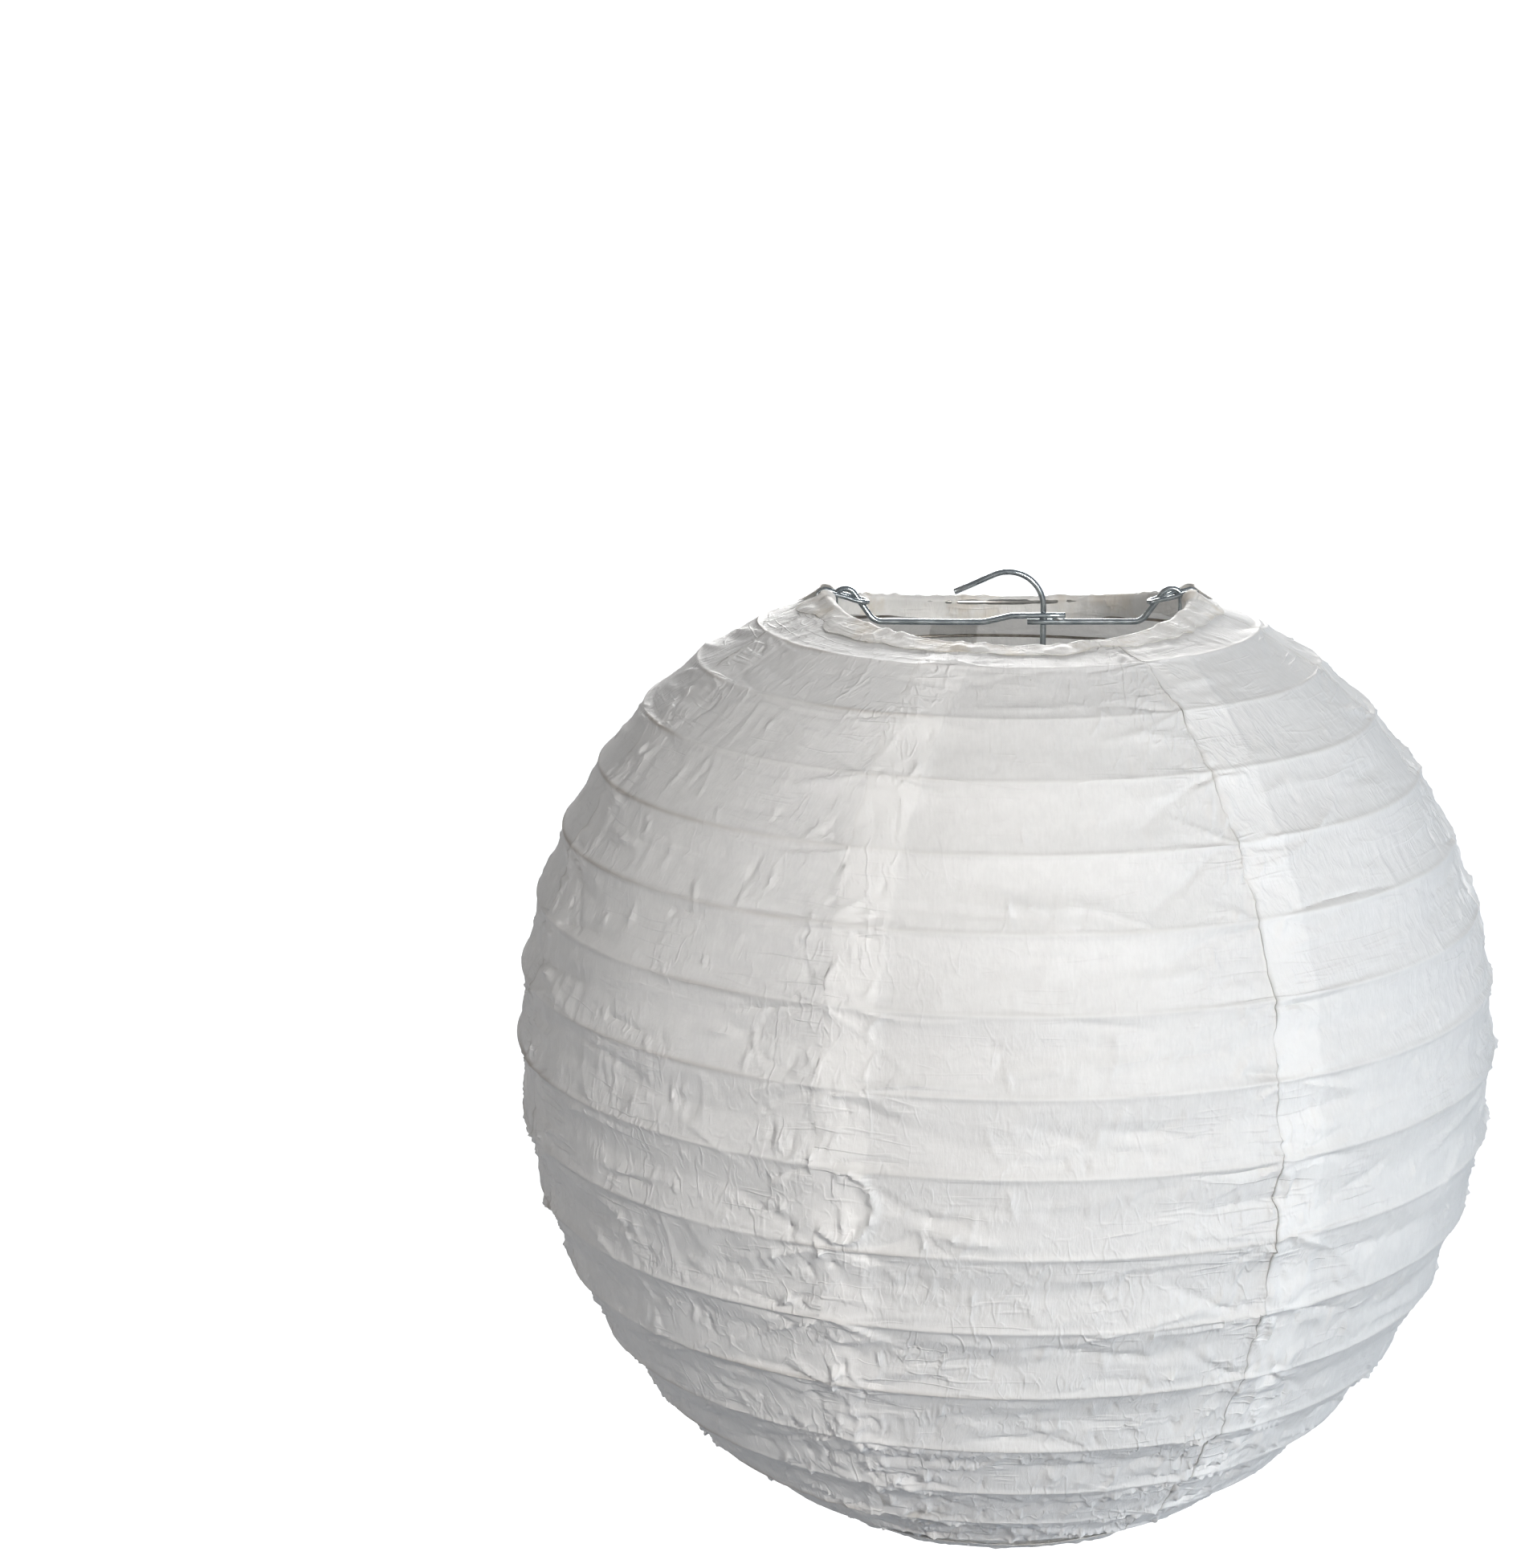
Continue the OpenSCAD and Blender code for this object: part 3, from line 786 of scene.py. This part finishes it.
def hem_half(level, side):
    """A folded strip of paper over half of a ring: a skirt outside on the gores, round the ring, and
    a flap inside it. Returns its outer face as a grid, with the facts for its material."""
    up = 1 if level == 0 else -1
    gap = math.asin(HEM_GAP / RING_R)
    cols = 251
    theta = np.linspace(gap, math.pi - gap, cols) + (0 if side > 0 else math.pi)
    seed = 60 + 10 * (level > 0) + side
    around = theta * RING_R
    reach_out = 6.0 + 2.0 * lattice_noise(around / 9, around * 0, 41, seed)
    reach_out += 1.0 * lattice_noise(around / 3, around * 0, 97, seed + 3)
    reach_in = 4.6 + 0.8 * lattice_noise(around / 8, around * 0 + 5, 43, seed + 5)
    band = BAND_LEN[0 if level == 0 else -1]
    from_end = np.minimum(theta - theta[0], theta[-1] - theta) * RING_R
    bunch = 1 + 0.4 * lattice_noise(around / 1.7, around * 0, 97, seed + 6)
    bunch = HEM_BUNCH * np.exp(-((from_end / 3.2) ** 2)) * bunch
    points = []
    along = []
    for a in np.linspace(1, 0.07, 11):  # the skirt
        depth = a * reach_out / band
        s = depth if level == 0 else LAST - depth
        out = 0.16 + (PAPER_T + 0.12) * (1 - a**3) + 0.8 * bunch * (1 - a) ** 2
        points.append(paper_point(s, theta, out))
        along.append(reach_out * a)
    drop = level_drop(level, theta)
    for turn in np.radians(np.linspace(60, 196, 13)):  # round the wire
        reach = HEM_REACH + bunch
        r = RING_R + reach * math.cos(turn)
        z = LEVEL_Z[level] - drop + up * reach * math.sin(turn)
        points.append(np.stack([r * np.cos(theta), r * np.sin(theta), z], -1))
        along.append(0 * theta - HEM_REACH * (turn - 1))
    start = points[-1]
    for a in np.linspace(0.12, 1, 9):  # the flap
        flap = a * reach_in
        r = np.hypot(start[:, 0], start[:, 1]) + 0.18 * flap
        z = start[:, 2] - up * 0.95 * flap
        points.append(np.stack([r * np.cos(theta), r * np.sin(theta), z], -1))
        along.append(-3.3 - flap)
    points = np.array(points)
    along = np.array(along)
    both = np.repeat(theta[None], len(points), 0)
    pleats = 0.42 * lattice_noise(both * RING_R / 2.6, along / 9, 127, seed + 11)
    dents = 0.3 * lattice_noise(both * RING_R / 5.0, along / 3.0, 67, seed + 12)
    fine = 0.16 * lattice_noise(both * RING_R / 1.4, along / 1.6, 251, seed + 13)
    normal = grid_normals(points)
    middle = len(points) // 2 - 1
    outward = (normal[middle, cols // 2] * (0, 0, up)).sum()
    normal = normal if outward > 0 else -normal
    at_edge = smooth(np.arange(len(points)), 0, 4)[:, None]
    push = np.clip(pleats + dents + fine, -0.1, 0.9) * (0.25 + 0.75 * at_edge)
    lining = points + normal * lowest_near(push)[..., None]
    points = points + normal * push[..., None]
    facts = {
        "u": both * RING_R,
        "v": along,
        "ridge": 0 * both,
        "double": 0.3 + 0 * both,
        "stain": 0 * both,
        "crinkled": 0.6 + 0 * both,
        # Painted shadow along the skirt's free edge
        "edge": 0.5 * np.exp(-((np.arange(len(points))[:, None] + 0 * both) ** 2)),
        "grime": 0.35 * np.exp(-(((along - 1.0) / 2.0) ** 2)),
    }
    return points, lining, facts


def hem_piece(name, level, body, node):
    halves = []
    for side in (-1, 1):
        points, lining, facts = hem_half(level, side)
        half_name = f"{name}_{'front' if side < 0 else 'back'}"
        halves.append(shell(half_name, points, lining, HEM_T, (HEM_PAPER, PAPER_INSIDE), facts))
    for half in halves:
        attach(half, body)
        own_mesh(half)
    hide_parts(node)
    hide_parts(node)


hem_piece("top_hem", 0, "shade_top", "top_binding")
hem_piece("bottom_hem", LAST, "shade_bottom", "bottom_binding")

# ---------------------------------------------------------------- the rings and the hoops

for level, node in enumerate(LEVEL_NODES):
    theta = np.linspace(0, TAU, 240, endpoint=False)
    drop = level_drop(level, theta)
    lean = np.sqrt(1 - (drop / LEVEL_R[level]) ** 2)
    loop = np.stack(
        [LEVEL_R[level] * np.cos(theta), LEVEL_R[level] * np.sin(theta) * lean, LEVEL_Z[level] - drop], -1
    )
    if node in RIBS:
        name, body, slot, material = f"hoop_{level:02d}", f"{node}_hoop", "rib_wire", RIB_STEEL
    elif level == 0:
        name, body, slot, material = "sprung_ring", "shade_top", "ring_wire", RING_STEEL
    else:
        name, body, slot, material = "plain_ring", "shade_bottom", "ring_wire", RING_STEEL
    wire = tube(name, loop, LEVEL_WIRE[level] / 2, material, closed=True, sides=12)
    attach(wire, body)
    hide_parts(node)
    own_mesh(wire)

# ---------------------------------------------------------------- the wire frame, hook and eyes

FRAME_WIRE = 1.5
FRAME_LOW, FRAME_HIGH = low_high("expander_frame")
FOOT_X = FRAME_HIGH[0] - FRAME_WIRE / 2
BAR_Z = FRAME_LOW[2] + FRAME_WIRE / 2
HOOK_R, HOOK_LIFT = 9.0, 3.5
CROSSBAR_Z = FRAME_WIRE / 2 - HOOK_R - HOOK_LIFT
LEG_X, BEND_X = 43.5, 33.6
APEX_Z = CROSSBAR_Z + (LEG_X - BEND_X) * math.tan(math.radians(55))
FOOT_PITCH = 3.4
LAP_END_X, LAP_START_X, LAP_RISE = 14.3, 5.0, FRAME_WIRE + 0.1
HOOK_Y = FRAME_WIRE - 0.1


def upright(points, y=0.0):
    return np.stack([points[:, 0], np.full(len(points), y), points[:, 1]], -1)


def hand_bent(points, amount, seed):
    """Slight waves along a wire, none at its ends."""
    length = np.concatenate([[0], np.cumsum(np.linalg.norm(np.diff(points, axis=0), axis=1))])
    fade = smooth(length, 0, 12) * smooth(length[-1] - length, 0, 12)
    wave = lattice_noise(length / 31, length * 0, 97, seed)
    ripple = 0.35 * lattice_noise(length / 9, length * 0, 97, seed + 1)
    points = points.copy()
    points[:, 1] += amount * (wave + ripple) * fade
    points[:, 2] += 0.35 * amount * lattice_noise(length / 14, length * 0, 97, seed + 2) * fade
    return points


foot_top = BAR_Z + FOOT_PITCH
frame_path = [
    [LAP_END_X, CROSSBAR_Z + LAP_RISE],
    [1, CROSSBAR_Z + LAP_RISE],
    [-6, CROSSBAR_Z],
    [-BEND_X, CROSSBAR_Z],
    [-LEG_X, APEX_Z],
    [-LEG_X, foot_top],
    [-FOOT_X, foot_top],
    [-FOOT_X, BAR_Z],
    [FOOT_X, BAR_Z],
    [FOOT_X, foot_top],
    [LEG_X, foot_top],
    [LEG_X, APEX_Z],
    [BEND_X, CROSSBAR_Z],
    [LAP_START_X, CROSSBAR_Z],
]
foot_bend = FOOT_PITCH / 2 - 0.1
frame_bends = [0, 3, 3, 4, 2.6, 1.6, foot_bend, foot_bend, foot_bend, foot_bend, 1.6, 2.6, 4, 0]
line = hand_bent(fine_steps(upright(bent(frame_path, frame_bends)), 4.0), 0.22, 71)
frame_tube = tube("frame_wire", line, FRAME_WIRE / 2, ZINC)
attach(frame_tube, "frame")
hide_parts("expander_frame")

curve_z = CROSSBAR_Z + HOOK_LIFT
hook_turn = math.radians(114)
apex = np.array([HOOK_R, curve_z + HOOK_R * math.tan(hook_turn / 2)])
tail = np.array([math.cos(math.pi / 2 + hook_turn), math.sin(math.pi / 2 + hook_turn)])
lamp_r, lamp_z = 4.0, CROSSBAR_Z - 24
hook_path = [
    apex + tail * (HOOK_R * math.tan(hook_turn / 2) + 10.6),
    apex,
    [HOOK_R, lamp_z],
    [HOOK_R - 2 * lamp_r, lamp_z],
    [HOOK_R - 2 * lamp_r, lamp_z + 1.8 * lamp_r],
]
hook_bends = [0, HOOK_R, lamp_r - 0.1, lamp_r - 0.1, 0]
line = upright(bent(hook_path, hook_bends, math.radians(5)), HOOK_Y)
line = hand_bent(fine_steps(line, 3.0), 0.1, 75)
hook_tube = tube("hook_wire", line, FRAME_WIRE / 2, ZINC)
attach(hook_tube, "frame")
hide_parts("hanging_hook")


def bead(name, centre, size, seed):
    """A small lump of weld metal."""
    rows, cols = 20, 28
    up = np.linspace(0, math.pi, rows)[1:-1]
    turn = np.arange(cols) * TAU / cols
    up, turn = np.meshgrid(up, turn, indexing="ij")
    lump = 1 + 0.16 * lattice_noise(turn / TAU * 6, up * 2.2, 6, seed)
    lump = lump + 0.06 * lattice_noise(turn / TAU * 13, up * 5, 13, seed + 1)
    body = np.stack([np.sin(up) * np.cos(turn), np.sin(up) * np.sin(turn), np.cos(up)], -1) * lump[..., None]
    verts = np.concatenate([body.reshape(-1, 3), [[0, 0, 1.0]], [[0, 0, -1.0]]]) * size + centre
    faces = []
    for a in range(0, (rows - 3) * cols, cols):
        b = a + cols
        faces += [[a + j, b + j, b + (j + 1) % cols, a + (j + 1) % cols] for j in range(cols)]
    top, low, base = (rows - 2) * cols, (rows - 2) * cols + 1, (rows - 3) * cols
    faces += [[top, j, (j + 1) % cols] for j in range(cols)]
    faces += [[low, base + (j + 1) % cols, base + j] for j in range(cols)]
    made = new_object(name, verts, faces, WELD)
    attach(made, "frame")


bead("lap_weld", np.array([12.6, 0.1, CROSSBAR_Z + LAP_RISE / 2]), np.array([1.5, 0.78, 0.95]), 81)
bead("hook_weld", np.array([HOOK_R, HOOK_Y / 2, CROSSBAR_Z + 0.75]), np.array([0.95, 0.75, 1.1]), 85)

EYE_WIRE = 1.2
EYE_HALF_W = 2.2
CURL_R = (RING_WIRE + EYE_WIRE) / 2 + 0.4
HINGE_X = math.sqrt(RING_R**2 - EYE_HALF_W**2)
HINGE_Z = EYE_Z - EYE_HALF_W * (FRONT_DROP[0] + BACK_DROP[0]) / 2 / RING_R
TIP_RISE = 5.1
slope = math.radians(55)
tip_x = BEND_X + TIP_RISE / math.tan(slope) - ((FRAME_WIRE + EYE_WIRE) / 2 + 0.1) / math.sin(slope)
tip_reach = math.hypot(HINGE_X - tip_x, HINGE_Z - CROSSBAR_Z - TIP_RISE)
arm_len = math.sqrt(tip_reach**2 - CURL_R**2)
eye_tilt = math.atan2(CURL_R, arm_len) + math.atan2(HINGE_Z - CROSSBAR_Z - TIP_RISE, HINGE_X - tip_x)


def eye_piece(name, side, node, body, seed):
    turns = np.radians(np.linspace(-180, 90, 30))
    curl = np.stack([CURL_R * np.cos(turns), 0 * turns + EYE_HALF_W, CURL_R * np.sin(turns)], -1)
    round_tip = np.radians(np.linspace(90, 270, 22))
    tip = EYE_HALF_W * np.stack([np.cos(round_tip), np.sin(round_tip), 0 * round_tip], -1)
    tip = tip + (EYE_HALF_W - arm_len, 0, CURL_R)
    other = curl[::-1] * (1, -1, 1)
    line = fine_steps(np.concatenate([curl, tip, other]), 1.2)
    middle = smooth(-line[:, 0], 0.5, 3) * smooth(line[:, 0] + arm_len, 0, 2)
    line[:, 2] += 0.18 * middle * lattice_noise(line[:, 0] / 2.5, line[:, 1], 17, seed)
    tilt = np.array(Matrix.Rotation(-eye_tilt, 3, "Y"))
    line = line @ tilt.T + (HINGE_X, 0, HINGE_Z)
    line[:, 0] *= side
    line[:, 1] *= side
    made = tube(name, line, EYE_WIRE / 2, ZINC, sides=14)
    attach(made, body)
    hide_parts(node)


eye_piece("eye_left", -1, "top_eye_left", "eye_left", 91)
eye_piece("eye_right", 1, "top_eye_right", "eye_right", 93)

# ---------------------------------------------------------------- floor, light and camera


def stage_piece(name, verts, faces, casts_shadow):
    """Part of the plain white surroundings. It is far too near to light the lantern as a real room
    would, so nothing but the camera sees it."""
    mesh = bpy.data.meshes.new(name)
    mesh.from_pydata(verts, [], faces)
    material, tree = nodes_of(name)
    g = Graph(tree)
    matt = g.node("ShaderNodeBsdfPrincipled", Roughness=0.9)
    matt.inputs["Base Color"].default_value = (0.9, 0.9, 0.9, 1)
    matt.inputs["Emission Color"].default_value = (1, 1, 1, 1)
    matt.inputs["Emission Strength"].default_value = 1.0
    g.link(matt.outputs[0], g.node("ShaderNodeOutputMaterial").inputs["Surface"])
    mesh.materials.append(material)
    obj = bpy.data.objects.new(name, mesh)
    bpy.context.scene.collection.objects.link(obj)
    obj.visible_diffuse = obj.visible_glossy = obj.visible_transmission = False
    obj.visible_shadow = casts_shadow


FLOOR_HALF, FLOOR_Z, WALL_TOP = 8.0, BOTTOM_Z * MM - 1.4, 15.0  # metres
corners = [(x * FLOOR_HALF, y * FLOOR_HALF) for x, y in ((-1, -1), (1, -1), (1, 1), (-1, 1))]
ground = [(x, y, FLOOR_Z) for x, y in corners]
stage_piece("white_floor", ground, [(0, 1, 2, 3)], True)
walls = [(i, (i + 1) % 4, 4 + (i + 1) % 4, 4 + i) for i in range(4)]
stage_piece("white_walls", ground + [(x, y, WALL_TOP) for x, y in corners], walls, False)


def area_light(name, place, size, power, colour):
    data = bpy.data.lights.new(name, "AREA")
    data.shape, data.size, data.size_y = "RECTANGLE", size[0], size[1]
    data.energy, data.color = power, colour
    obj = bpy.data.objects.new(name, data)
    bpy.context.scene.collection.objects.link(obj)
    target = Vector((0, 0, CENTRE_Z * MM))
    obj.location = target + Vector(place)
    obj.rotation_euler = (-Vector(place)).to_track_quat("-Z", "Y").to_euler()


area_light("window", (0.7, -1.6, 0.62), (0.3, 0.3), 27.6, (1.0, 0.975, 0.945))
area_light("sky_side", (1.9, -0.6, -0.3), (0.8, 0.8), 9.6, (0.6, 0.8, 1.0))
area_light("far_wall", (-1.6, -0.9, 0.2), (0.5, 0.5), 6.2, (1.0, 0.96, 0.925))
area_light("behind", (0.1, 1.8, 0.5), (0.8, 0.8), 38, (1.0, 0.985, 0.965))

world = bpy.data.worlds.new("room")
bpy.context.scene.world = world
world.use_nodes = True
world.node_tree.nodes.clear()
g = Graph(world.node_tree)
direction = g.node("ShaderNodeTexCoord").outputs["Generated"]
parts = g.node("ShaderNodeSeparateXYZ")
g.link(direction, parts.inputs[0])
sideways = g.mix(g.ramp(parts.outputs[0], -1.0, 1.0), (0.24, 0.23, 0.22), (0.25, 0.278, 0.315))
tone = g.mix(g.ramp(parts.outputs[2], -0.9, 0.5), (0.27, 0.29, 0.325), sideways)
sky = g.node("ShaderNodeBackground", Strength=1.0)
g.link(tone, sky.inputs["Color"])
g.link(sky.outputs[0], g.node("ShaderNodeOutputWorld").inputs["Surface"])

CAMERA_FROM_CENTRE = Vector((-0.0612, -0.9271, 0.2762))
camera = bpy.data.cameras.new("camera")
camera.lens, camera.sensor_width = 86.0, 36.0
camera.clip_start, camera.clip_end = 0.05, 50
camera_object = bpy.data.objects.new("camera", camera)
bpy.context.scene.collection.objects.link(camera_object)
camera_object.location = CAMERA_FROM_CENTRE + Vector((0, 0, CENTRE_Z * MM))
camera_object.rotation_euler = (math.radians(90 - 12.95), 0, 0)
bpy.context.scene.camera = camera_object
bpy.context.scene.view_settings.view_transform = "Standard"
